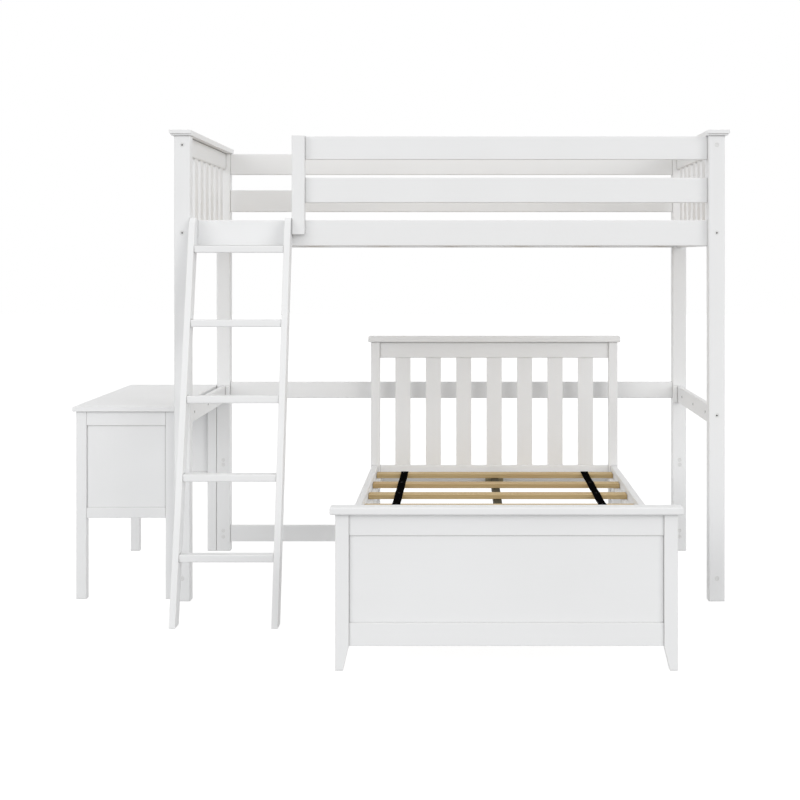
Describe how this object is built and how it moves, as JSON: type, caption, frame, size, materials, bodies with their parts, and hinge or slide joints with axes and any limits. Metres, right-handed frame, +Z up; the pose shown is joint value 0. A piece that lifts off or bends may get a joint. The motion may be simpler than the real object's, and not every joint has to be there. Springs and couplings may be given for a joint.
{
  "type": "l-shaped bunk bed",
  "caption": "Twin loft bed with slanted ladder and end desk over a free-standing lower bed set at right angles, in white-painted wood.",
  "frame": {"origin": "on the floor under the middle of the whole assembly's box", "axes": "+X along the loft from the desk end to the far end, +Y from the footboard of the lower bed to the loft's back, +Z up"},
  "size_m": [2.4506, 2.145, 1.7525],
  "materials": {
    "white_paint": "satin white paint on solid pine and panel, slight orange peel",
    "pine": "bare planed pine with fine lengthwise grain",
    "webbing": "flat black woven webbing",
    "dark_steel": "dark grey-green powder coat"
  },
  "bodies": {
    "loft": {"loft_post_front_left": "white_paint", "loft_post_front_right": "white_paint", "loft_post_back_left": "white_paint", "loft_post_back_right": "white_paint", "loft_end_cap_left": "white_paint", "loft_end_cap_right": "white_paint", "loft_end_slat_panel_left": "white_paint", "loft_end_slat_panel_right": "white_paint", "end_tie_rail_left": "white_paint", "end_tie_rail_right": "white_paint", "corner_cleat_left": "white_paint", "corner_cleat_right": "white_paint", "loft_side_rail_front": "white_paint", "loft_side_rail_back": "white_paint", "guard_board_front_lower": "white_paint", "guard_board_front_upper": "white_paint", "guard_board_back_lower": "white_paint", "guard_board_back_upper": "white_paint", "guard_upright": "white_paint", "back_tie_rail_upper": "white_paint", "back_tie_rail_lower": "white_paint", "loft_slat_roll": "pine", "ladder_stile_left": "white_paint", "ladder_stile_right": "white_paint", "ladder_rung_1": "white_paint", "ladder_rung_2": "white_paint", "ladder_rung_3": "white_paint", "ladder_rung_4": "white_paint", "ladder_rung_5": "white_paint", "desk_top": "white_paint", "desk_leg_front_left": "white_paint", "desk_leg_front_right": "white_paint", "desk_leg_back_left": "white_paint", "desk_leg_back_right": "white_paint", "desk_end_panel_front": "white_paint", "desk_end_panel_back": "white_paint", "desk_long_apron_outer": "white_paint", "desk_long_apron_inner": "white_paint"},
    "lower_bed": {"headboard_post_left": "white_paint", "headboard_post_right": "white_paint", "headboard_cap": "white_paint", "headboard_slat_panel": "white_paint", "footboard_post_left": "white_paint", "footboard_post_right": "white_paint", "footboard_cap": "white_paint", "footboard_panel": "white_paint", "bed_side_rail_left": "white_paint", "bed_side_rail_right": "white_paint", "bed_slat_1": "pine", "bed_slat_2": "pine", "bed_slat_3": "pine", "bed_slat_4": "pine", "bed_slat_5": "pine", "bed_slat_6": "pine", "bed_slat_7": "pine", "slat_strap_left": "webbing", "slat_strap_right": "webbing", "centre_support_rail": "dark_steel", "centre_support_leg": "white_paint", "centre_bracket": "dark_steel"}
  },
  "joints": [
    {"name": "lower_bed_slide", "type": "slide", "parent": "loft", "child": "lower_bed", "axis": [0, -1, 0], "range_m": [-0.045, 0.94]}
  ]
}
